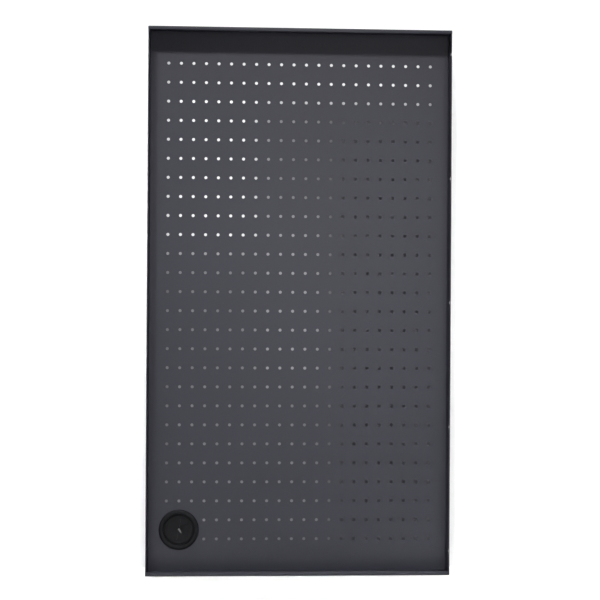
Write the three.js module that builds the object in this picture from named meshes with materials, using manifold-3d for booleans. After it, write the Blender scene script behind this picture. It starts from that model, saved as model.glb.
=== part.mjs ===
// Perforated wall panel of a shop gondola: a punched steel sheet held in a shallow frame of four folded
// steel members, open at the front, with a cable grommet near one lower corner.
// Units are millimetres. X is the width, Y the depth with the open front towards -Y, and Z the height.
// The origin is under the middle of the panel, at the middle of its whole depth.

import * as THREE from 'three';
import { mergeGeometries, mergeVertices } from 'three/addons/utils/BufferGeometryUtils.js';
import Module from 'manifold-3d';

const wasm = await Module();
wasm.setup();

// Panel
const WIDTH = 600;
const HEIGHT = 1080;
const FRAME_DEPTH = 40;
const STEEL = 1.2;
const BEND_RADIUS = 2;
const BEND_STEPS = 4;
const FIT = 0.5;

// Folds of the frame members
const TOP_LIP = 7;
const BOTTOM_LIP = 8;
const RAIL_RETURN = 20;
const SIDE_RETURN = 15;

// Punched grid
const COLUMNS = 22;
const ROWS = 26;
const COLUMN_PITCH = 25;
const ROW_PITCH = 38;
const HOLE_DIAMETER = 6;
const HOLE_SIDES = 4;

// Bolt slots in the side members
const SLOT_LENGTH = 11;
const SLOT_HEIGHT = 8.5;
const SLOT_FROM_FRONT = 10;
const SLOT_PITCH = 6.5 * ROW_PITCH;
const SLOT_STEPS_EACH_WAY = 2;
const SLOT_END_STEPS = 8;

// Cable grommet, centred on the second column and halfway between the last two rows
const GROMMET_COLUMN = 1;
const GROMMET_ROW_FROM_BOTTOM = 0.5;
const BEZEL_RADIUS = 40;
const BEZEL_PROUD = 3.5;
const BEZEL_ROUNDING = 2;
const MOUTH_CHAMFER = 0.8;
const MOUTH_RADIUS = 30;
const BARREL_RADIUS = 32.4;
const SEAT_RADIUS = 26.5;
const SEAT_THICKNESS = 1.6;
const MOUTH_DEPTH = 4.5;
const TAIL = 8;
const MEMBRANE_THICKNESS = 2;
const SLIT_CUTS = 4;
const SLIT_WIDTH = 0.8;
const SLIT_REACH = 22;
const OPEN_SLIT_TURN = 57 * Math.PI / 180;
const OPEN_GAP_LENGTH = 16;
const OPEN_GAP_WIDTH = 5;
const OPEN_GAP_OFFSET = 5;
const NUT_RADIUS = 38;
const NUT_THICKNESS = 5;
const NUT_LOBES = 12;
const NUT_STEPS_PER_LOBE = 6;
const NUT_LOBE_HEIGHT = 1;
const ROUND_STEPS = 48;

// Places worked out from the sizes above
const FRONT = -(FRAME_DEPTH + TAIL) / 2;
const REAR = FRONT + FRAME_DEPTH;
const TAIL_END = REAR + TAIL;
const SHEET_BACK = REAR - STEEL - FIT;
const SHEET_FRONT = SHEET_BACK - STEEL;
const GRID_LEFT = -(COLUMNS - 1) * COLUMN_PITCH / 2;
const GRID_BOTTOM = (HEIGHT - (ROWS - 1) * ROW_PITCH) / 2;
const GROMMET_X = GRID_LEFT + GROMMET_COLUMN * COLUMN_PITCH;
const GROMMET_Z = GRID_BOTTOM + GROMMET_ROW_FROM_BOTTOM * ROW_PITCH;
const SHEET_HOLE_RADIUS = BARREL_RADIUS + FIT;
const BEZEL_FACE = SHEET_FRONT - BEZEL_PROUD;
const MEMBRANE_FRONT = BEZEL_FACE + MOUTH_DEPTH;
const SEAT_FRONT = MEMBRANE_FRONT + MEMBRANE_THICKNESS + FIT;

// Colours and finishes
const POWDER_COAT = { color: 0x4b4c51, roughness: 0.55, metalness: 0.2 };
const MOULDED_PLASTIC = { color: 0x1b1b1d, roughness: 0.5, metalness: 0 };
const RUBBER = { color: 0x161617, roughness: 0.7, metalness: 0 };

const group = new THREE.Group();

function addPart(name, geometry, finish) {
  const mesh = new THREE.Mesh(geometry, new THREE.MeshStandardMaterial(finish));
  mesh.name = name;
  group.add(mesh);
  return mesh;
}

function solidOf(geometry) {
  const bare = geometry.clone();
  bare.deleteAttribute('normal');
  bare.deleteAttribute('uv');
  const merged = mergeVertices(bare, 1e-4);
  return new wasm.Manifold(new wasm.Mesh({
    numProp: 3,
    vertProperties: new Float32Array(merged.attributes.position.array),
    triVerts: new Uint32Array(merged.index.array),
  }));
}

function geometryOf(solid) {
  const mesh = solid.getMesh();
  const geometry = new THREE.BufferGeometry();
  geometry.setAttribute('position', new THREE.BufferAttribute(mesh.vertProperties, 3));
  geometry.setIndex(new THREE.BufferAttribute(mesh.triVerts, 1));
  return geometry;
}

function cut(geometry, tools) {
  let solid = solidOf(geometry);
  for (const tool of tools) {
    solid = solid.subtract(solidOf(tool));
  }
  return geometryOf(solid);
}

function boxBetween(low, high) {
  const size = high.map((value, axis) => value - low[axis]);
  const middle = high.map((value, axis) => (value + low[axis]) / 2);
  return new THREE.BoxGeometry(...size).translate(...middle);
}

// Section of a folded sheet. The corners are those of its outer face, and every fold turns left.
function foldedSection(corners) {
  const points = corners.map(([u, v]) => new THREE.Vector2(u, v));
  const heading = (i) => points[i + 1].clone().sub(points[i]).normalize();
  const inward = (i) => new THREE.Vector2(-heading(i).y, heading(i).x).multiplyScalar(STEEL);
  const last = points.length - 1;
  const outer = [points[0]];
  const inner = [points[0].clone().add(inward(0))];
  for (let i = 1; i < last; i += 1) {
    const before = heading(i - 1);
    const after = heading(i);
    const centre = points[i].clone().addScaledVector(before, -BEND_RADIUS);
    centre.addScaledVector(after, BEND_RADIUS);
    for (let step = 0; step <= BEND_STEPS; step += 1) {
      const turn = (Math.PI / 2) * (step / BEND_STEPS);
      const spoke = after.clone().multiplyScalar(-Math.cos(turn)).addScaledVector(before, Math.sin(turn));
      outer.push(centre.clone().addScaledVector(spoke, BEND_RADIUS));
      inner.push(centre.clone().addScaledVector(spoke, BEND_RADIUS - STEEL));
    }
  }
  outer.push(points[last]);
  inner.push(points[last].clone().add(inward(last - 1)));
  return new THREE.Shape([...outer, ...inner.reverse()]);
}

function extrude(shape, length, curveSegments = ROUND_STEPS) {
  return new THREE.ExtrudeGeometry(shape, { depth: length, bevelEnabled: false, curveSegments });
}

// Turns a section drawn in depth and height, extruded from 0, into a bar along X centred on the panel.
function alongX(geometry, length) {
  const axes = new THREE.Matrix4().makeBasis(
    new THREE.Vector3(0, 1, 0),
    new THREE.Vector3(0, 0, 1),
    new THREE.Vector3(1, 0, 0),
  );
  return geometry.applyMatrix4(axes).translate(-length / 2, 0, 0);
}

// Turns a shape drawn in X and Z into a plate from depth near to depth far.
function plate(shape, near, far) {
  return extrude(shape, far - near).rotateX(Math.PI / 2).translate(0, far, 0);
}

// Turns a closed outline of [radius, depth] points into a ring on the grommet's axis.
function ringOnGrommet(outline) {
  const points = outline.map(([radius, depth]) => new THREE.Vector2(radius, depth));
  const ring = new THREE.LatheGeometry([...points, points[0]], ROUND_STEPS);
  return ring.translate(GROMMET_X, 0, GROMMET_Z);
}

// Top and bottom rails: a full-width channel with a small front lip and a deeper rear return.
function topRail() {
  const section = foldedSection([
    [REAR, HEIGHT - RAIL_RETURN],
    [REAR, HEIGHT],
    [FRONT, HEIGHT],
    [FRONT, HEIGHT - TOP_LIP],
  ]);
  return alongX(extrude(section, WIDTH), WIDTH);
}

function bottomRail() {
  const section = foldedSection([
    [FRONT, BOTTOM_LIP],
    [FRONT, 0],
    [REAR, 0],
    [REAR, RAIL_RETURN],
  ]);
  return alongX(extrude(section, WIDTH), WIDTH);
}

// One bolt slot: an obround tool through a side member, long in depth.
function slotTool(x, z) {
  const straight = (SLOT_LENGTH - SLOT_HEIGHT) / 2;
  const shape = new THREE.Shape();
  shape.absarc(straight, 0, SLOT_HEIGHT / 2, -Math.PI / 2, Math.PI / 2);
  shape.absarc(-straight, 0, SLOT_HEIGHT / 2, Math.PI / 2, 3 * Math.PI / 2);
  const length = 8 * STEEL;
  return alongX(extrude(shape, length, SLOT_END_STEPS), length).translate(x, FRONT + SLOT_FROM_FRONT, z);
}

// Side members: an angle with its return behind the sheet, coped at both ends to clear the rails.
function sideMember(side) {
  const edge = side * WIDTH / 2;
  const front = FRONT + STEEL + FIT;
  const corners = [[edge, front], [edge, REAR], [edge - side * SIDE_RETURN, REAR]];
  const section = foldedSection(side > 0 ? corners : corners.reverse());
  const low = STEEL + FIT;
  const high = HEIGHT - STEEL - FIT;
  const bar = extrude(section, high - low).translate(0, 0, low);
  const past = 2 * SIDE_RETURN;
  const copes = [[0, RAIL_RETURN + FIT], [HEIGHT - RAIL_RETURN - FIT, HEIGHT]].map(
    ([from, to]) => boxBetween([edge - past, REAR - STEEL - FIT, from], [edge + past, REAR + STEEL, to]),
  );
  const slots = [];
  for (let i = -SLOT_STEPS_EACH_WAY; i <= SLOT_STEPS_EACH_WAY; i += 1) {
    slots.push(slotTool(edge, HEIGHT / 2 + i * SLOT_PITCH));
  }
  return cut(bar, [...copes, ...slots]);
}

// A punched hole is a polygon with the area of its round hole. This is the polygon's corner radius.
function polygonRadius(radius, sides) {
  return radius * Math.sqrt(2 * Math.PI / (sides * Math.sin(2 * Math.PI / sides)));
}

// A straight tool along the depth, long enough to pass through the sheet.
function punch(radius, sides, x, z) {
  const tool = new THREE.CylinderGeometry(radius, radius, 4 * STEEL, sides);
  return tool.translate(x, (SHEET_FRONT + SHEET_BACK) / 2, z);
}

function perforatedSheet() {
  const halfWidth = WIDTH / 2 - STEEL - FIT;
  const low = STEEL + FIT;
  const high = HEIGHT - STEEL - FIT;
  const blank = boxBetween([-halfWidth, SHEET_FRONT, low], [halfWidth, SHEET_BACK, high]);
  const holeRadius = polygonRadius(HOLE_DIAMETER / 2, HOLE_SIDES);
  const punches = [punch(SHEET_HOLE_RADIUS, ROUND_STEPS, GROMMET_X, GROMMET_Z)];
  for (let row = 0; row < ROWS; row += 1) {
    for (let column = 0; column < COLUMNS; column += 1) {
      const x = GRID_LEFT + column * COLUMN_PITCH;
      const z = GRID_BOTTOM + row * ROW_PITCH;
      if (Math.hypot(x - GROMMET_X, z - GROMMET_Z) > BEZEL_RADIUS) {
        punches.push(punch(holeRadius, HOLE_SIDES, x, z));
      }
    }
  }
  return cut(blank, [mergeGeometries(punches)]);
}

// Grommet bezel: a rounded flange in front of the sheet, a barrel through it, and a seat for the membrane.
function grommetBezel() {
  const outline = [[MOUTH_RADIUS, BEZEL_FACE + MOUTH_CHAMFER], [MOUTH_RADIUS + MOUTH_CHAMFER, BEZEL_FACE]];
  for (let step = 0; step <= BEND_STEPS; step += 1) {
    const turn = (Math.PI / 2) * (step / BEND_STEPS);
    outline.push([
      BEZEL_RADIUS - BEZEL_ROUNDING * (1 - Math.sin(turn)),
      BEZEL_FACE + BEZEL_ROUNDING * (1 - Math.cos(turn)),
    ]);
  }
  outline.push(
    [BEZEL_RADIUS, SHEET_FRONT - FIT],
    [BARREL_RADIUS, SHEET_FRONT - FIT],
    [BARREL_RADIUS, TAIL_END],
    [MOUTH_RADIUS, TAIL_END],
    [MOUTH_RADIUS, SEAT_FRONT + SEAT_THICKNESS],
    [SEAT_RADIUS, SEAT_FRONT + SEAT_THICKNESS],
    [SEAT_RADIUS, SEAT_FRONT],
    [MOUTH_RADIUS, SEAT_FRONT],
  );
  return ringOnGrommet(outline);
}

// Grommet membrane: a rubber disc with crossing slits, so that it opens as petals around a cable. The
// petals on either side of one slit stay a little apart, which leaves a lens-shaped gap at the middle.
function grommetMembrane() {
  const radius = MOUTH_RADIUS - FIT;
  const disc = new THREE.CylinderGeometry(radius, radius, MEMBRANE_THICKNESS, ROUND_STEPS);
  const gap = new THREE.CylinderGeometry(1, 1, 2 * MEMBRANE_THICKNESS, ROUND_STEPS / 2);
  gap.scale(OPEN_GAP_LENGTH / 2, 1, OPEN_GAP_WIDTH / 2);
  gap.translate(OPEN_GAP_OFFSET, 0, 0).rotateY(OPEN_SLIT_TURN);
  const tools = [gap];
  for (let i = 0; i < SLIT_CUTS; i += 1) {
    const slit = new THREE.BoxGeometry(2 * SLIT_REACH, 2 * MEMBRANE_THICKNESS, SLIT_WIDTH);
    tools.push(slit.rotateY(OPEN_SLIT_TURN + Math.PI * i / SLIT_CUTS));
  }
  return cut(disc, tools).translate(GROMMET_X, MEMBRANE_FRONT + MEMBRANE_THICKNESS / 2, GROMMET_Z);
}

// Grommet nut: a lobed ring that clamps the grommet from behind the sheet.
function grommetNut() {
  const points = [];
  const steps = NUT_LOBES * NUT_STEPS_PER_LOBE;
  for (let step = 0; step < steps; step += 1) {
    const angle = 2 * Math.PI * step / steps;
    const radius = NUT_RADIUS + NUT_LOBE_HEIGHT * Math.cos(NUT_LOBES * angle);
    points.push(new THREE.Vector2(radius * Math.cos(angle), radius * Math.sin(angle)));
  }
  const shape = new THREE.Shape(points);
  const hole = new THREE.Path();
  hole.absarc(0, 0, BARREL_RADIUS + FIT, 0, 2 * Math.PI, true);
  shape.holes.push(hole);
  const near = SHEET_BACK + FIT;
  return plate(shape, near, near + NUT_THICKNESS).translate(GROMMET_X, 0, GROMMET_Z);
}

addPart('perforated_sheet', perforatedSheet(), POWDER_COAT);
addPart('top_rail', topRail(), POWDER_COAT);
addPart('bottom_rail', bottomRail(), POWDER_COAT);
addPart('left_side', sideMember(-1), POWDER_COAT);
addPart('right_side', sideMember(1), POWDER_COAT);
addPart('grommet_bezel', grommetBezel(), MOULDED_PLASTIC);
addPart('grommet_membrane', grommetMembrane(), RUBBER);
addPart('grommet_nut', grommetNut(), MOULDED_PLASTIC);

export default group;
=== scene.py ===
"""Looks of a perforated gondola back panel: a powder-coated steel tray with a black cable grommet.

Lengths of pieces are in millimetres, and are turned into metres as their meshes are made. Materials and
the studio are in metres. X is the width, Y the depth with the open front towards -Y, and Z the height.
"""

import math
import random

import bmesh
import bpy
from mathutils import Matrix, Vector

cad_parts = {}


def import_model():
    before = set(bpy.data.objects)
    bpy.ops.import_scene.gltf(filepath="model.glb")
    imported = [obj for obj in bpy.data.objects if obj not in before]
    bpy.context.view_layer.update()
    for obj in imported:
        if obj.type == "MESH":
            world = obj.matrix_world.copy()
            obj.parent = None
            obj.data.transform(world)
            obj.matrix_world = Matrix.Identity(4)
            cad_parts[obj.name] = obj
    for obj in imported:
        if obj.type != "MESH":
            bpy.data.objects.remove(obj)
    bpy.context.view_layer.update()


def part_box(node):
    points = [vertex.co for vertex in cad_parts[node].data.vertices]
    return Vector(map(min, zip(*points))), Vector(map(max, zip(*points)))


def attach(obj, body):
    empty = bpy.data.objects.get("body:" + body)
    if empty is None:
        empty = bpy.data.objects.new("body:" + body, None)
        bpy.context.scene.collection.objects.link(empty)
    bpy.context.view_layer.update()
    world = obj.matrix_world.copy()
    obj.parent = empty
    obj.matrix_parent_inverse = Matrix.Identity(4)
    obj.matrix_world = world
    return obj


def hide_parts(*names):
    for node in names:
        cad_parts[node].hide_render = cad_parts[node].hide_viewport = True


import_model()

MM = 0.001
SEED = 7

# Shading: a face is square to an axis from this cosine on, and an edge is sharp from these angles on
SQUARE_COSINE = 0.999
SHARP_ANGLE, FOLDED_SHARP_ANGLE = math.radians(40), math.radians(60)

# Sheet metal
STEEL = 1.2
BEND_RADIUS = 2.0
BEND_STEPS = 10
EDGE_BREAK, EDGE_BREAK_ANGLE = 0.25, math.radians(50)
FIT = 0.5
TOP_LIP = 7.0
BOTTOM_LIP = 8.0

# Punched grid. A punch rolls the sheet's front edge in, and the back edge is broken.
COLUMNS, ROWS = 22, 26
COLUMN_PITCH, ROW_PITCH = 25.0, 38.0
HOLE_RADIUS = 3.0
ROLL_IN, ROLL_BOW = 0.3, 0.3
BACK_BREAK = 0.12
STEPS_ACROSS, STEPS_UP = 4, 6
GROMMET_COLUMNS, GROMMET_ROWS = 3, 2

# Bolt slots in the side members
SLOT_LENGTH, SLOT_HEIGHT = 11.0, 8.5
SLOT_FROM_FRONT = 10.0
SLOT_PITCH = 6.5 * ROW_PITCH
SLOTS_EACH_WAY = 2
SLOT_STEPS = 12
SLOT_TOOL_REACH = 5.0

# Spot welds on the returns behind
WELD_RADIUS, WELD_DEPTH = 2.8, 0.22
WELD_STEPS, WELD_RINGS = 20, 5
WELD_TOOL_REACH = 1.0
WELDS_ON_RAIL, WELDS_ON_SIDE = 8, 13
WELDS_OFF_RAIL_MIDDLE = 1.5
WELDS_FROM_SIDE_END, WELDS_FROM_SIDE_EDGE = 30.0, 6.5

# Grommet ring
RING_STEPS = 160
MOUTH_RADIUS = 30.0
BARREL_RADIUS = 32.4
SEAT_RADIUS = 26.5
SEAT_THICKNESS = 1.6
MOULD_BREAK = 0.3
TAIL_CHAMFER, TAIL_BREAK = 0.6, 0.4
BEAD_STEPS, BEAD_FLATNESS = 28, 0.85
BEAD_FOOT, FLANGE_GAP, FLANGE_FILLET = 0.35, 0.05, 0.25
THREAD_PITCH, THREAD_DEPTH = 2.0, 0.7
THREAD_STEPS = 44
THREAD_FROM_SHEET, THREAD_FROM_TAIL = 0.4, 0.5
THREAD_FADE_IN, THREAD_FADE_OUT = 1.0, 0.8
TOOTH_SLOPE, TOOTH_ROOT = 2.4, 0.7

# Clamp nut
NUT_STEPS = 288
NUT_LOBES, NUT_LOBE_HEIGHT, NUT_LOBE_FLATNESS = 12, 1.0, 0.6
NUT_BORE_LAND = 0.9
NUT_FRONT_CHAMFER, NUT_BACK_CHAMFER = 0.5, 0.8
NUT_FRONT_FILLET, NUT_FRONT_STEPS = 0.6, 4
NUT_BACK_FILLET, NUT_BACK_STEPS = 1.0, 6

# Membrane. Its petals sag backwards, and the two beside the open slit are pulled apart.
PETALS = 8
PETAL_STEPS_ACROSS, PETAL_STEPS_INWARD = 10, 16
PETAL_TIP = 1.1
SLIT_WIDTH = 0.12
SLIT_REACH = 22.0
TIP_THICKNESS_SHARE = 0.62
SAG_LEAST, SAG_MOST = 0.1, 1.3
TILT_MOST = 0.5
OPEN_SLIT = math.radians(-57)
OPEN_MIDDLE, OPEN_HALF = 3.2, 6.4
OPEN_FADE = 5.0
OPEN_PULL, OPEN_LIFT, FAR_LIFT_SHARE = 1.5, 1.9, 0.5
RIB_FROM, RIB_TO, RIB_SLOPE, RIB_HEIGHT = 24.0, 27.5, 1.0, 0.5


def box_mm(node):
    return [[v / MM for v in corner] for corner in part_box(node)]


def finish_mesh(name, mesh, material, node, sharp=SHARP_ANGLE, flat_axis=None):
    """Makes a piece of a mesh, in the place of a CAD node. Faces square to flat_axis are shaded flat."""
    mesh.validate()
    mesh.set_sharp_from_angle(angle=sharp)
    smooth = [flat_axis is None or abs(face.normal[flat_axis]) < SQUARE_COSINE for face in mesh.polygons]
    mesh.polygons.foreach_set("use_smooth", smooth)
    mesh.materials.append(material)
    piece = bpy.data.objects.new(name, mesh)
    bpy.context.scene.collection.objects.link(piece)
    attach(piece, "root")
    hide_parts(node)


def mesh_of(name, points, faces):
    """A mesh of points in millimetres, with its normals outwards."""
    mesh = bpy.data.meshes.new(name)
    mesh.from_pydata([[v * MM for v in p] for p in points], [], faces)
    mesh.update()
    bm = bmesh.new()
    bm.from_mesh(mesh)
    bmesh.ops.recalc_face_normals(bm, faces=bm.faces)
    bm.to_mesh(mesh)
    bm.free()
    return mesh


def arc(centre, radius, start, end, steps):
    """Points of an arc. Its angles are in degrees, from the plane's first axis towards the second."""
    turns = [math.radians(start + (end - start) * k / steps) for k in range(steps + 1)]
    return [(centre[0] + radius * math.cos(t), centre[1] + radius * math.sin(t)) for t in turns]


# ---------------------------------------------------------------- materials


class Shader:
    """A material with one Principled shader, and short calls to add the nodes that drive it."""

    def __init__(self, name):
        self.material = bpy.data.materials.new(name)
        self.material.use_nodes = True
        self.tree = self.material.node_tree
        self.main = self.tree.nodes["Principled BSDF"]
        self.place = self.tree.nodes.new("ShaderNodeTexCoord").outputs["Object"]

    def feed(self, socket, value):
        if isinstance(value, bpy.types.NodeSocket):
            self.tree.links.new(value, socket)
        else:
            socket.default_value = value

    def node(self, kind, inputs, **settings):
        node = self.tree.nodes.new(kind)
        for key, value in settings.items():
            setattr(node, key, value)
        for key, value in inputs.items():
            self.feed(node.inputs[key], value)
        return node

    def noise(self, scale, detail=3.0, roughness=0.5):
        """Noise around 0.5 with features of about 1/scale metres."""
        inputs = {"Vector": self.place, "Scale": scale, "Detail": detail, "Roughness": roughness}
        return self.node("ShaderNodeTexNoise", inputs).outputs["Fac"]

    def remap(self, value, low, high, to_low=0.0, to_high=1.0):
        inputs = {"Value": value, "From Min": low, "From Max": high, "To Min": to_low, "To Max": to_high}
        return self.node("ShaderNodeMapRange", inputs).outputs["Result"]

    def math(self, operation, first, second):
        node = self.node("ShaderNodeMath", {0: first, 1: second}, operation=operation)
        return node.outputs["Value"]

    def blend(self, share, first, second):
        """From the first colour to the second. The Mix node's colour sockets are 6, 7 and 2."""
        inputs = {0: share, 6: first, 7: second}
        return self.node("ShaderNodeMix", inputs, data_type="RGBA").outputs[2]

    def shade(self, colour, factor):
        """The colour times a factor."""
        inputs = {"Vector": colour, "Scale": factor}
        return self.node("ShaderNodeVectorMath", inputs, operation="SCALE").outputs["Vector"]

    def bump(self, height, distance, strength, normal=None):
        inputs = {"Height": height, "Distance": distance, "Strength": strength}
        if normal is not None:
            inputs["Normal"] = normal
        return self.node("ShaderNodeBump", inputs).outputs["Normal"]

    def edges(self, radius):
        """From 0 on flat faces up to about 1 on a corner sharper than the radius."""
        rounded = self.node("ShaderNodeBevel", {"Radius": radius}, samples=4).outputs["Normal"]
        plain = self.node("ShaderNodeNewGeometry", {}).outputs["Normal"]
        inputs = {0: rounded, 1: plain}
        match = self.node("ShaderNodeVectorMath", inputs, operation="DOT_PRODUCT").outputs["Value"]
        return self.remap(match, 0.995, 0.80)


def powder_coat():
    """Dark grey coat: faint clouds and blotches, a fine grain, orange peel, and worn sharp edges."""
    dark, light = (0.0185, 0.0185, 0.0268, 1), (0.0206, 0.0206, 0.0298, 1)
    worn = (0.085, 0.085, 0.10, 1)
    s = Shader("powder_coat_dark_grey")
    cloud = s.noise(7.0, 2.0)
    blotch = s.noise(70.0, 4.0)
    grain = s.noise(1500.0, 2.0)
    base = s.blend(s.remap(blotch, 0.3, 0.7), dark, light)
    toned = s.shade(base, s.remap(cloud, 0.25, 0.75, 0.95, 1.05))
    grained = s.shade(toned, s.remap(grain, 0.3, 0.7, 0.93, 1.07))
    patches = s.remap(s.noise(240.0, 4.0, 0.65), 0.42, 0.66, 0.05, 0.55)
    wear = s.math("MULTIPLY", s.edges(0.0007), patches)
    s.feed(s.main.inputs["Base Color"], s.blend(wear, grained, worn))
    rough = s.remap(blotch, 0.3, 0.7, 0.43, 0.50)
    polish = s.math("MULTIPLY", wear, 0.18)
    s.feed(s.main.inputs["Roughness"], s.math("SUBTRACT", rough, polish))
    s.main.inputs["Specular IOR Level"].default_value = 0.36
    peel = s.bump(s.noise(420.0, 2.0), 0.00006, 0.35)
    s.feed(s.main.inputs["Normal"], s.bump(grain, 0.00002, 0.5, peel))
    return s.material


def moulded_plastic():
    """Black plastic with a fine mould grain and scuffed edges."""
    dark, light = (0.0022, 0.0024, 0.0032, 1), (0.0036, 0.0038, 0.0048, 1)
    scuffed = (0.016, 0.016, 0.017, 1)
    s = Shader("moulded_black_plastic")
    grain = s.noise(2600.0, 2.0)
    cloud = s.noise(60.0, 3.0)
    base = s.blend(s.remap(cloud, 0.3, 0.7), dark, light)
    patches = s.remap(s.noise(300.0, 4.0, 0.6), 0.4, 0.65, 0.1, 0.6)
    wear = s.math("MULTIPLY", s.edges(0.0006), patches)
    s.feed(s.main.inputs["Base Color"], s.blend(wear, base, scuffed))
    s.feed(s.main.inputs["Roughness"], s.remap(s.noise(180.0, 4.0), 0.3, 0.7, 0.44, 0.58))
    s.main.inputs["Specular IOR Level"].default_value = 0.14
    s.feed(s.main.inputs["Normal"], s.bump(grain, 0.00003, 0.5))
    return s.material


def soft_rubber():
    """Matt black rubber with a film of dust and paler cut edges."""
    clean, dusty = (0.0024, 0.0025, 0.0032, 1), (0.0055, 0.0056, 0.0066, 1)
    cut = (0.012, 0.012, 0.013, 1)
    s = Shader("soft_black_rubber")
    dust = s.noise(120.0, 5.0, 0.6)
    base = s.blend(s.remap(dust, 0.45, 0.75), clean, dusty)
    edge = s.math("MULTIPLY", s.edges(0.0004), 0.5)
    s.feed(s.main.inputs["Base Color"], s.blend(edge, base, cut))
    s.feed(s.main.inputs["Roughness"], s.remap(dust, 0.3, 0.7, 0.62, 0.76))
    s.main.inputs["Specular IOR Level"].default_value = 0.17
    s.feed(s.main.inputs["Normal"], s.bump(s.noise(1900.0, 3.0), 0.00004, 0.5))
    return s.material


COAT = powder_coat()
PLASTIC = moulded_plastic()
RUBBER = soft_rubber()

# ---------------------------------------------------------------- punched sheet


def rim(x0, x1, z0, z1, across, up):
    """Points around a rectangle, from its lower left corner towards +X."""
    corners = [(x0, z0), (x1, z0), (x1, z1), (x0, z1)]
    out = []
    for i, steps in enumerate((across, up, across, up)):
        a, b = corners[i], corners[(i + 1) % 4]
        out += [(a[0] + (b[0] - a[0]) * k / steps, a[1] + (b[1] - a[1]) * k / steps) for k in range(steps)]
    return out


def punched_sheet():
    """A sheet of cells, each a ring of faces from its rectangle to its round hole, and plain margins."""
    (left, front, bottom), (right, back, top) = box_mm("perforated_sheet")
    grid_left = (left + right - COLUMNS * COLUMN_PITCH) / 2
    grid_bottom = (bottom + top - ROWS * ROW_PITCH) / 2
    points, faces, found = [], [], {}

    def vertex(x, y, z):
        key = (round(x, 3), round(y, 3), round(z, 3))
        if key not in found:
            found[key] = len(points)
            points.append((x, y, z))
        return found[key]

    def cell(x0, z0, columns, rows, radius):
        """A cell some columns wide and rows high, with its hole in the middle."""
        x1, z1 = x0 + columns * COLUMN_PITCH, z0 + rows * ROW_PITCH
        across = columns * STEPS_ACROSS
        outline = rim(x0, x1, z0, z1, across, rows * STEPS_UP)
        count = len(outline)
        cx, cz = (x0 + x1) / 2, (z0 + z1) / 2
        first = -math.pi / 2 - math.pi * across / count
        turns = [first + 2 * math.pi * k / count for k in range(count)]
        hole = (
            (radius + ROLL_IN, front),
            (radius + ROLL_BOW * ROLL_IN, front + ROLL_BOW * ROLL_IN),
            (radius, front + ROLL_IN),
            (radius, back - BACK_BREAK),
            (radius + BACK_BREAK, back),
        )
        rings = [[vertex(x, front, z) for x, z in outline]]
        for r, y in hole:
            rings.append([vertex(cx + r * math.cos(t), y, cz + r * math.sin(t)) for t in turns])
        rings.append([vertex(x, back, z) for x, z in outline])
        for inner, outer in zip(rings[1:], rings):
            for k in range(count):
                n = (k + 1) % count
                faces.append((outer[k], outer[n], inner[n], inner[k]))

    for row in range(ROWS):
        for column in range(COLUMNS):
            if row >= GROMMET_ROWS or column >= GROMMET_COLUMNS:
                cell(grid_left + column * COLUMN_PITCH, grid_bottom + row * ROW_PITCH, 1, 1, HOLE_RADIUS)
    cell(grid_left, grid_bottom, GROMMET_COLUMNS, GROMMET_ROWS, BARREL_RADIUS + FIT)

    def margin(x0, x1, z0, z1):
        for y, order in ((front, 1), (back, -1)):
            corners = [vertex(x0, y, z0), vertex(x1, y, z0), vertex(x1, y, z1), vertex(x0, y, z1)]
            faces.append(tuple(corners[::order]))

    xs = [grid_left + k * COLUMN_PITCH / STEPS_ACROSS for k in range(COLUMNS * STEPS_ACROSS + 1)]
    zs = [grid_bottom + k * ROW_PITCH / STEPS_UP for k in range(ROWS * STEPS_UP + 1)]
    wide, tall = [left, *xs, right], [bottom, *zs, top]
    for x0, x1 in zip(wide, wide[1:]):
        margin(x0, x1, bottom, zs[0])
        margin(x0, x1, zs[-1], top)
    for z0, z1 in zip(zs, zs[1:]):
        margin(left, xs[0], z0, z1)
        margin(xs[-1], right, z0, z1)
    for x0, x1 in zip(wide, wide[1:]):
        for z, near, far in ((bottom, back, front), (top, front, back)):
            faces.append((vertex(x0, near, z), vertex(x1, near, z), vertex(x1, far, z), vertex(x0, far, z)))
    for z0, z1 in zip(tall, tall[1:]):
        for x, near, far in ((left, front, back), (right, back, front)):
            faces.append((vertex(x, near, z0), vertex(x, near, z1), vertex(x, far, z1), vertex(x, far, z0)))
    mesh = mesh_of("punched_sheet", points, faces)
    finish_mesh("punched_sheet", mesh, COAT, "perforated_sheet", flat_axis=1)


# ---------------------------------------------------------------- folded members


def folded_section(corners):
    """Outline of a folded sheet. The corners are those of its outer face, and every fold turns left."""
    corners = [Vector(c) for c in corners]
    heads = [(b - a).normalized() for a, b in zip(corners, corners[1:])]
    inward = [Vector((-h.y, h.x)) * STEEL for h in heads]
    outer, inner = [corners[0]], [corners[0] + inward[0]]
    for i in range(1, len(corners) - 1):
        before, after = heads[i - 1], heads[i]
        centre = corners[i] - before * BEND_RADIUS + after * BEND_RADIUS
        for step in range(BEND_STEPS + 1):
            turn = math.pi / 2 * step / BEND_STEPS
            spoke = -math.cos(turn) * after + math.sin(turn) * before
            outer.append(centre + spoke * BEND_RADIUS)
            inner.append(centre + spoke * (BEND_RADIUS - STEEL))
    outer.append(corners[-1])
    inner.append(corners[-1] + inward[-1])
    return outer + inner[::-1]


def bar(section, start, end, place):
    """A section extruded from start to end. place turns (u, v, along) into a point."""
    count = len(section)
    points = [place(u, v, along) for along in (start, end) for u, v in section]
    faces = [(k, (k + 1) % count, count + (k + 1) % count, count + k) for k in range(count)]
    faces += [tuple(range(count))[::-1], tuple(range(count, 2 * count))]
    return points, faces


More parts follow.
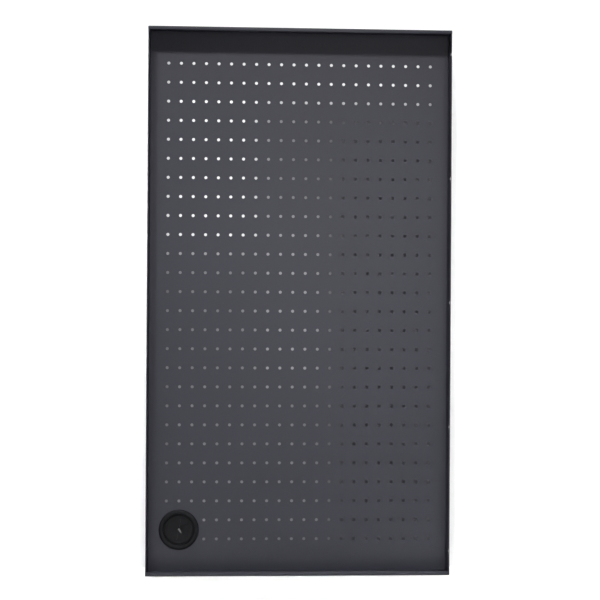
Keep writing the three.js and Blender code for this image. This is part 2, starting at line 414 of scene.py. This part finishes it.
def weld_dimple(x, rear, z):
    """A cutter for the shallow bowl that a spot weld leaves in a rear face."""

    def circle(radius, y):
        turns = [2 * math.pi * k / WELD_STEPS for k in range(WELD_STEPS)]
        return [(x + radius * math.cos(t), y, z + radius * math.sin(t)) for t in turns]

    points = [(x, rear - WELD_DEPTH, z)]
    for i in range(1, WELD_RINGS + 1):
        points += circle(WELD_RADIUS * i / WELD_RINGS, rear - WELD_DEPTH * (1 - (i / WELD_RINGS) ** 2))
    lid = len(points)
    points += circle(WELD_RADIUS, rear + WELD_TOOL_REACH)
    faces = [tuple(range(lid, lid + WELD_STEPS))]
    for k in range(WELD_STEPS):
        n = (k + 1) % WELD_STEPS
        faces.append((0, 1 + k, 1 + n))
        for inner in range(1, lid, WELD_STEPS):
            outer = inner + WELD_STEPS
            faces.append((inner + k, outer + k, outer + n, inner + n))
    return points, faces


def slot_tool(edge, y, z):
    """A cutter for a slot through the side wall at edge. Its ends are round, and it is long in Y."""
    straight, radius = (SLOT_LENGTH - SLOT_HEIGHT) / 2, SLOT_HEIGHT / 2
    outline = arc((y + straight, z), radius, -90, 90, SLOT_STEPS)
    outline += arc((y - straight, z), radius, 90, 270, SLOT_STEPS)
    start, end = edge - SLOT_TOOL_REACH, edge + SLOT_TOOL_REACH
    return bar(outline, start, end, lambda u, v, along: (along, u, v))


def block(low, high):
    xs, ys, zs = zip(low, high)
    points = [(x, y, z) for x in xs for y in ys for z in zs]
    faces = [(0, 1, 3, 2), (4, 6, 7, 5), (0, 4, 5, 1), (2, 3, 7, 6), (0, 2, 6, 4), (1, 5, 7, 3)]
    return points, faces


def joined(shapes):
    points, faces = [], []
    for more_points, more_faces in shapes:
        base = len(points)
        points += more_points
        faces += [tuple(base + i for i in face) for face in more_faces]
    return points, faces


def scratch(name, shape):
    piece = bpy.data.objects.new(name, mesh_of(name, *shape))
    bpy.context.scene.collection.objects.link(piece)
    return piece


def member(name, body, cutters, node):
    """A folded member: cut, its edges lightly rounded, and shaded so that its flats stay flat."""
    blank, tool = scratch(name + "_blank", body), scratch(name + "_tool", joined(cutters))
    boolean = blank.modifiers.new("cut", "BOOLEAN")
    boolean.operation, boolean.solver, boolean.object = "DIFFERENCE", "EXACT", tool
    bevel = blank.modifiers.new("edges", "BEVEL")
    bevel.width, bevel.segments, bevel.limit_method = EDGE_BREAK * MM, 2, "ANGLE"
    bevel.angle_limit = EDGE_BREAK_ANGLE
    weighted = blank.modifiers.new("flats", "WEIGHTED_NORMAL")
    weighted.keep_sharp = True
    mesh = bpy.data.meshes.new_from_object(blank.evaluated_get(bpy.context.evaluated_depsgraph_get()))
    mesh.name = name
    for piece in (blank, tool):
        bpy.data.objects.remove(piece)
    finish_mesh(name, mesh, COAT, node, sharp=FOLDED_SHARP_ANGLE)


def rail(name, node, lip, upward):
    """A full-width channel. upward is 1 for the bottom rail, whose flanges point up, and -1 for the top."""
    (left, front, low), (right, rear, high) = box_mm(node)
    base, far = (low, high) if upward > 0 else (high, low)
    corners = [(front, base + upward * lip), (front, base), (rear, base), (rear, far)]
    section = folded_section(corners if upward > 0 else corners[::-1])
    body = bar(section, left, right, lambda u, v, along: (along, u, v))
    height = (base + far) / 2 + upward * WELDS_OFF_RAIL_MIDDLE
    pitch = (right - left) / WELDS_ON_RAIL
    welds = [weld_dimple(left + pitch * (k + 0.5), rear, height) for k in range(WELDS_ON_RAIL)]
    member(name, body, welds, node)


def side(name, node):
    """A side member: an angle with bolt slots, coped at both ends to clear the rails' returns."""
    (left, front, low), (right, rear, high) = box_mm(node)
    outward = 1 if right > 0 else -1
    edge, inner = (right, left) if outward > 0 else (left, right)
    corners = [(edge, front), (edge, rear), (inner, rear)]
    section = folded_section(corners if outward > 0 else corners[::-1])
    body = bar(section, low, high, lambda u, v, along: (u, v, along))
    past = 2 * (right - left)
    cutters = []
    for rail_node in ("bottom_rail", "top_rail"):
        (_, _, rail_low), (_, _, rail_high) = box_mm(rail_node)
        near = (edge - past, rear - STEEL - FIT, rail_low - FIT)
        far = (edge + past, rear + STEEL, rail_high + FIT)
        cutters.append(block(near, far))
    slot_depth = box_mm("top_rail")[0][1] + SLOT_FROM_FRONT
    for i in range(-SLOTS_EACH_WAY, SLOTS_EACH_WAY + 1):
        cutters.append(slot_tool(edge, slot_depth, (low + high) / 2 + i * SLOT_PITCH))
    pitch = (high - low - 2 * WELDS_FROM_SIDE_END) / WELDS_ON_SIDE
    across = inner + outward * WELDS_FROM_SIDE_EDGE
    for k in range(WELDS_ON_SIDE):
        cutters.append(weld_dimple(across, rear, low + WELDS_FROM_SIDE_END + pitch * (k + 0.5)))
    member(name, body, cutters, node)


# ---------------------------------------------------------------- grommet


def grommet_centre():
    (left, _, low), (right, _, high) = box_mm("grommet_bezel")
    return (left + right) / 2, (low + high) / 2


def lathe(profile, steps, radius_at):
    """A closed profile of (radius, depth) turned about the grommet's axis. radius_at varies its radii."""
    cx, cz = grommet_centre()
    count = len(profile)
    points, faces = [], []
    for k in range(steps):
        t = 2 * math.pi * k / steps
        for r, y in profile:
            varied = radius_at(r, y, t)
            points.append((cx + varied * math.cos(t), y, cz + varied * math.sin(t)))
    for k in range(steps):
        n = (k + 1) % steps
        for i in range(count):
            j = (i + 1) % count
            faces.append((k * count + i, k * count + j, n * count + j, n * count + i))
    return points, faces


def grommet_ring():
    """A flange with a rounded bead, a seat for the membrane, and a threaded barrel through the sheet."""
    (left, face, _), (right, tail, _) = box_mm("grommet_bezel")
    (_, sheet_front, _), (_, sheet_back, _) = box_mm("perforated_sheet")
    seat_front = box_mm("grommet_membrane")[1][1] + FIT
    seat_back = seat_front + SEAT_THICKNESS
    flange = (right - left) / 2
    crest, half = (flange + MOUTH_RADIUS) / 2, (flange - MOUTH_RADIUS) / 2
    bead_foot, underside = sheet_front - BEAD_FOOT, sheet_front - FLANGE_GAP
    profile = []
    for k in range(BEAD_STEPS + 1):
        t = math.pi * (1 - k / BEAD_STEPS)
        up = abs(math.sin(t)) ** BEAD_FLATNESS
        out = math.copysign(abs(math.cos(t)) ** BEAD_FLATNESS, math.cos(t))
        profile.append((crest + half * out, bead_foot - (bead_foot - face) * up))
    profile += [(flange - MOULD_BREAK, underside), (BARREL_RADIUS + MOULD_BREAK, underside)]
    profile += [(BARREL_RADIUS, sheet_front + FLANGE_FILLET), (BARREL_RADIUS, sheet_back)]
    thread_from, thread_to = sheet_back + THREAD_FROM_SHEET, tail - THREAD_FROM_TAIL
    for k in range(THREAD_STEPS + 1):
        profile.append((BARREL_RADIUS, thread_from + (thread_to - thread_from) * k / THREAD_STEPS))
    profile += [(BARREL_RADIUS - TAIL_CHAMFER, tail), (MOUTH_RADIUS + TAIL_BREAK, tail)]
    profile += [(MOUTH_RADIUS, tail - TAIL_BREAK), (MOUTH_RADIUS, seat_back)]
    profile += [(SEAT_RADIUS + MOULD_BREAK, seat_back), (SEAT_RADIUS, seat_back - MOULD_BREAK)]
    profile += [(SEAT_RADIUS, seat_front + MOULD_BREAK), (SEAT_RADIUS + MOULD_BREAK, seat_front)]
    profile.append((MOUTH_RADIUS, seat_front))

    def threaded(r, y, turn):
        """Cuts a trapezoidal thread into the barrel, which fades in and out at its ends."""
        if r != BARREL_RADIUS or not thread_from <= y <= thread_to:
            return r
        phase = (y / THREAD_PITCH + turn / (2 * math.pi)) % 1.0
        groove = min(1.0, max(0.0, TOOTH_SLOPE * abs(2 * phase - 1) - TOOTH_ROOT))
        fade = min(1.0, (y - thread_from) / THREAD_FADE_IN, (thread_to - y) / THREAD_FADE_OUT)
        return r - THREAD_DEPTH * groove * fade

    mesh = mesh_of("grommet_ring", *lathe(profile, RING_STEPS, threaded))
    finish_mesh("grommet_ring", mesh, PLASTIC, "grommet_bezel")


def grommet_clamp_nut():
    """A ring nut with a lobed outside for the fingers."""
    (left, front, _), (right, back, _) = box_mm("grommet_nut")
    outer = (right - left) / 2 - NUT_LOBE_HEIGHT
    bore = BARREL_RADIUS + FIT
    profile = [(bore, front + NUT_FRONT_CHAMFER), (bore + NUT_FRONT_CHAMFER, front)]
    fillet = NUT_FRONT_FILLET
    profile += arc((outer - fillet, front + fillet), fillet, -90, 0, NUT_FRONT_STEPS)
    fillet = NUT_BACK_FILLET
    profile += arc((outer - fillet, back - fillet), fillet, 0, 90, NUT_BACK_STEPS)
    profile += [(bore + NUT_BACK_CHAMFER, back), (bore, back - NUT_BACK_CHAMFER)]
    land = bore + NUT_BORE_LAND

    def lobed(r, y, turn):
        """Swells towards the outside and leaves the land around the bore round."""
        share = max(0.0, (r - land) / (outer - land))
        wave = math.cos(NUT_LOBES * turn)
        return r + NUT_LOBE_HEIGHT * share * math.copysign(abs(wave) ** NUT_LOBE_FLATNESS, wave)

    mesh = mesh_of("grommet_clamp_nut", *lathe(profile, NUT_STEPS, lobed))
    finish_mesh("grommet_clamp_nut", mesh, PLASTIC, "grommet_nut")


def grommet_petals():
    """A rubber disc with eight petals, each a little bent, and one slit standing open."""
    (left, front, _), (right, back, _) = box_mm("grommet_membrane")
    cx, cz = grommet_centre()
    edge = (right - left) / 2
    rng = random.Random(SEED)
    sag = [rng.uniform(SAG_LEAST, SAG_MOST) for _ in range(PETALS)]
    tilt = [rng.uniform(-TILT_MOST, TILT_MOST) for _ in range(PETALS)]
    cos_open, sin_open = math.cos(OPEN_SLIT), math.sin(OPEN_SLIT)
    across = PETAL_STEPS_ACROSS
    points, faces = [], []

    def shaped(radius, angle, petal, share, depth):
        """Moves a point of the flat disc: petals sag backwards, and the open slit's petals part."""
        x, z = radius * math.cos(angle), radius * math.sin(angle)
        bend = max(0.0, (SLIT_REACH - radius) / SLIT_REACH)
        y = depth + (sag[petal] + tilt[petal] * (share - 0.5)) * bend**2
        along, off = x * cos_open + z * sin_open, z * cos_open - x * sin_open
        gap = max(0.0, 1 - ((along - OPEN_MIDDLE) / OPEN_HALF) ** 2)
        pull = gap * math.exp(-((off / OPEN_FADE) ** 2))
        off += math.copysign(OPEN_PULL * pull, off)
        y += OPEN_LIFT * pull * (1.0 if off > 0 else FAR_LIFT_SHARE)
        return cx + along * cos_open - off * sin_open, y, cz + along * sin_open + off * cos_open

    def ring_angles(radius, petal):
        half = math.asin(SLIT_WIDTH / 2 / radius)
        a = OPEN_SLIT + 2 * math.pi * petal / PETALS + half
        b = OPEN_SLIT + 2 * math.pi * (petal + 1) / PETALS - half
        return [a + (b - a) * k / across for k in range(across + 1)]

    def layers(lines):
        """Adds a line of points in front and one behind, and gives both as ranges."""
        out = []
        for line in lines:
            out.append(range(len(points), len(points) + len(line)))
            points.extend(line)
        return out

    def petal_row(petal, radius):
        angles = ring_angles(radius, petal)
        thinning = (1 - TIP_THICKNESS_SHARE) * min(1.0, radius / SLIT_REACH)
        thickness = (back - front) * (TIP_THICKNESS_SHARE + thinning)
        return layers(
            [shaped(radius, angle, petal, k / across, depth) for k, angle in enumerate(angles)]
            for depth in (front, front + thickness)
        )

    ends = []
    for petal in range(PETALS):
        step = (SLIT_REACH - PETAL_TIP) / PETAL_STEPS_INWARD
        rows = [petal_row(petal, PETAL_TIP + step * k) for k in range(PETAL_STEPS_INWARD + 1)]
        for (f0, b0), (f1, b1) in zip(rows, rows[1:]):
            for k in range(across):
                faces.append((f0[k], f0[k + 1], f1[k + 1], f1[k]))
                faces.append((b0[k + 1], b0[k], b1[k], b1[k + 1]))
            faces.append((f0[0], f1[0], b1[0], b0[0]))
            faces.append((f1[-1], f0[-1], b0[-1], b1[-1]))
        tip_front, tip_back = rows[0]
        for k in range(across):
            faces.append((tip_front[k + 1], tip_front[k], tip_back[k], tip_back[k + 1]))
        ends.append(rows[-1])

    angles = [a for petal in range(PETALS) for a in ring_angles(SLIT_REACH, petal)]
    rows = [[[i for f, _ in ends for i in f], [i for _, b in ends for i in b]]]
    outline = (
        (RIB_FROM, front, back),
        (RIB_FROM + RIB_SLOPE, front - RIB_HEIGHT, back),
        (RIB_TO - RIB_SLOPE, front - RIB_HEIGHT, back),
        (RIB_TO, front, back),
        (edge - MOULD_BREAK, front, back),
        (edge, front + MOULD_BREAK, back - MOULD_BREAK),
    )
    for radius, *depths in outline:
        circle = [(cx + radius * math.cos(a), cz + radius * math.sin(a)) for a in angles]
        rows.append(layers([(x, depth, z) for x, z in circle] for depth in depths))
    count = len(angles)
    for (f0, b0), (f1, b1) in zip(rows, rows[1:]):
        for k in range(count):
            n = (k + 1) % count
            faces.append((f0[k], f0[n], f1[n], f1[k]))
            faces.append((b0[n], b0[k], b1[k], b1[n]))
    (f0, b0), (f1, b1) = rows[0], rows[-1]
    for k in range(count):
        n = (k + 1) % count
        if k % (across + 1) == across:
            faces.append((f0[k], f0[n], b0[n], b0[k]))
        faces.append((f1[k], b1[k], b1[n], f1[n]))
    mesh = mesh_of("grommet_petals", points, faces)
    finish_mesh("grommet_petals", mesh, RUBBER, "grommet_membrane")


punched_sheet()
rail("upper_rail", "top_rail", TOP_LIP, -1)
rail("lower_rail", "bottom_rail", BOTTOM_LIP, 1)
side("side_member_left", "left_side")
side("side_member_right", "right_side")
grommet_ring()
grommet_clamp_nut()
grommet_petals()

# ---------------------------------------------------------------- studio, in metres

# The grey is painted shade: it colours the card that stands in for the panel's shadow on the wall.
WHITE, SHADE_GREY = (0.93, 0.93, 0.93, 1), (0.30, 0.30, 0.30, 1)
FLOOR_Z = -0.0005
FLOOR_X, FLOOR_Y = (-2.3, 2.3), (-3.0, 2.6)
WALL_GAP, WALL_X, WALL_TOP = 0.035, (-1.1, 1.1), 1.9
# The card is a dark sheet of painted shade close behind the panel, where the panel's shadow on the wall
# would fall.
SHADE_CARD_GAP, SHADE_CARD_X, SHADE_CARD_Z = 0.001, (-0.272, 0.275), (0.04, 1.045)

# Key lights stand on an arc before the panel: name, degrees from straight ahead, power
KEY_REACH, KEY_HEIGHT = 6.0, 6.65
KEY_AIM, KEY_SIZE, KEY_SPREAD = (0.08, 0, 0.60), (2.2, 0.9), 11.0
KEYS = (("key_left", -20, 7.0), ("key_middle", 0, 1.4), ("key_right", 17, 3.2))

# Soft lights: name, place, aim, size, power
FRONT = ("front", (0.3, -2.6, 0.75), (0.1, 0, 0.6), (1.0, 1.0), 14.6)
CEILING = ("ceiling", (0.0, -1.9, 4.2), (0, -1.9, 0), (6.0, 3.0), 108)
REAR = ("rear", (0.6, 2.6, 1.9), (0, 0, 0.5), (2.6, 2.0), 72)

# Glows stand between the panel and the wall, and face the wall: name, middle's x and z, size, power
GLOW_Y, GLOW_AIM_Y = 0.031, 0.2
GLOWS = (
    ("glow_a", (-0.18, 0.80), (0.19, 0.30), 0.50),
    ("glow_b", (-0.10, 0.50), (0.34, 0.90), 0.50),
    ("glow_top", (0.0, 0.995), (0.54, 0.10), 0.54),
    ("glow_c", (-0.02, 0.54), (0.12, 0.34), 0.085),
)
AMBIENT, BACKGROUND = 0.03, 1.0

CAMERA_PLACE, CAMERA_AIM = Vector((-0.085, -2.103, 0.542)), Vector((0.0016, 0.0, 0.5436))
CAMERA_ROLL = math.radians(0.33)
CAMERA_LENS, CAMERA_SENSOR = 63.37, 36.0


def plane(name, corners, material):
    mesh = bpy.data.meshes.new(name)
    mesh.from_pydata(corners, [], [(0, 1, 2, 3)])
    mesh.materials.append(material)
    sheet = bpy.data.objects.new(name, mesh)
    bpy.context.scene.collection.objects.link(sheet)


def matt(name, colour):
    s = Shader(name)
    s.main.inputs["Base Color"].default_value = colour
    s.main.inputs["Roughness"].default_value = 0.9
    s.main.inputs["Specular IOR Level"].default_value = 0.1
    return s


def one_sided(s):
    """Clear from behind and for shadows, so that the rear light passes and the back can be seen."""
    facing = s.node("ShaderNodeNewGeometry", {}).outputs["Backfacing"]
    shadow = s.node("ShaderNodeLightPath", {}).outputs["Is Shadow Ray"]
    clear = s.node("ShaderNodeBsdfTransparent", {}).outputs[0]
    share = s.math("MAXIMUM", facing, shadow)
    mix = s.node("ShaderNodeMixShader", {0: share, 1: s.main.outputs[0], 2: clear}).outputs[0]
    s.feed(s.tree.nodes["Material Output"].inputs["Surface"], mix)
    return s.material


def upright(name, xs, y, zs, colour):
    """A plane that faces the front, seen from there only."""
    corners = [(xs[0], y, zs[0]), (xs[1], y, zs[0]), (xs[1], y, zs[1]), (xs[0], y, zs[1])]
    plane(name, corners, one_sided(matt(name, colour)))


def area_light(name, place, aim, size, power, spread=180.0):
    data = bpy.data.lights.new(name, "AREA")
    data.shape = "RECTANGLE"
    data.size, data.size_y = size
    data.energy = power
    data.spread = math.radians(spread)
    light = bpy.data.objects.new(name, data)
    light.location = place
    light.rotation_euler = (Vector(aim) - Vector(place)).to_track_quat("-Z", "Y").to_euler()
    light.visible_camera = False
    bpy.context.scene.collection.objects.link(light)


def world():
    """A white background to the camera that gives little light of its own."""
    sky = bpy.data.worlds.new("studio_world")
    bpy.context.scene.world = sky
    sky.use_nodes = True
    tree = sky.node_tree
    background = tree.nodes["Background"]
    background.inputs["Color"].default_value = (1, 1, 1, 1)
    seen = tree.nodes.new("ShaderNodeLightPath").outputs["Is Camera Ray"]
    strength = tree.nodes.new("ShaderNodeMapRange")
    tree.links.new(seen, strength.inputs["Value"])
    strength.inputs["To Min"].default_value = AMBIENT
    strength.inputs["To Max"].default_value = BACKGROUND
    tree.links.new(strength.outputs["Result"], background.inputs["Strength"])


def studio():
    """A pale floor, and a wall with a grey card of painted shade close behind the panel, standing in for
    the panel's shadow on the wall. Both show through the panel's holes.
    """
    floor = [(x, y, FLOOR_Z) for x, y in rim(*FLOOR_X, *FLOOR_Y, 1, 1)]
    plane("studio_floor", floor, matt("studio_floor", WHITE).material)
    wall_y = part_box("top_rail")[1][1] + WALL_GAP
    upright("studio_wall", WALL_X, wall_y, (FLOOR_Z, WALL_TOP), WHITE)
    # Painted shade: the grey card darkens what shows through the holes, as a shadow on the wall would.
    upright("studio_shade_card", SHADE_CARD_X, wall_y - SHADE_CARD_GAP, SHADE_CARD_Z, SHADE_GREY)
    for name, degrees, power in KEYS:
        turn = math.radians(degrees)
        place = (KEY_REACH * math.sin(turn), -KEY_REACH * math.cos(turn), KEY_HEIGHT)
        area_light(name, place, KEY_AIM, KEY_SIZE, power, KEY_SPREAD)
    area_light(*FRONT)
    area_light(*CEILING)
    for name, (x, z), size, power in GLOWS:
        area_light(name, (x, GLOW_Y, z), (x, GLOW_AIM_Y, z), size, power)
    area_light(*REAR)
    world()
    bpy.context.scene.view_settings.view_transform = "Standard"


def camera():
    data = bpy.data.cameras.new("camera")
    data.lens, data.sensor_width = CAMERA_LENS, CAMERA_SENSOR
    forward = (CAMERA_AIM - CAMERA_PLACE).normalized()
    level = forward.cross(Vector((0, 0, 1))).normalized()
    plumb = level.cross(forward)
    right = level * math.cos(CAMERA_ROLL) + plumb * math.sin(CAMERA_ROLL)
    up = plumb * math.cos(CAMERA_ROLL) - level * math.sin(CAMERA_ROLL)
    turned = Matrix((right, up, -forward)).transposed().to_4x4()
    body = bpy.data.objects.new("camera", data)
    bpy.context.scene.collection.objects.link(body)
    body.matrix_world = Matrix.Translation(CAMERA_PLACE) @ turned
    bpy.context.scene.camera = body


studio()
camera()

bpy.context.view_layer.update()
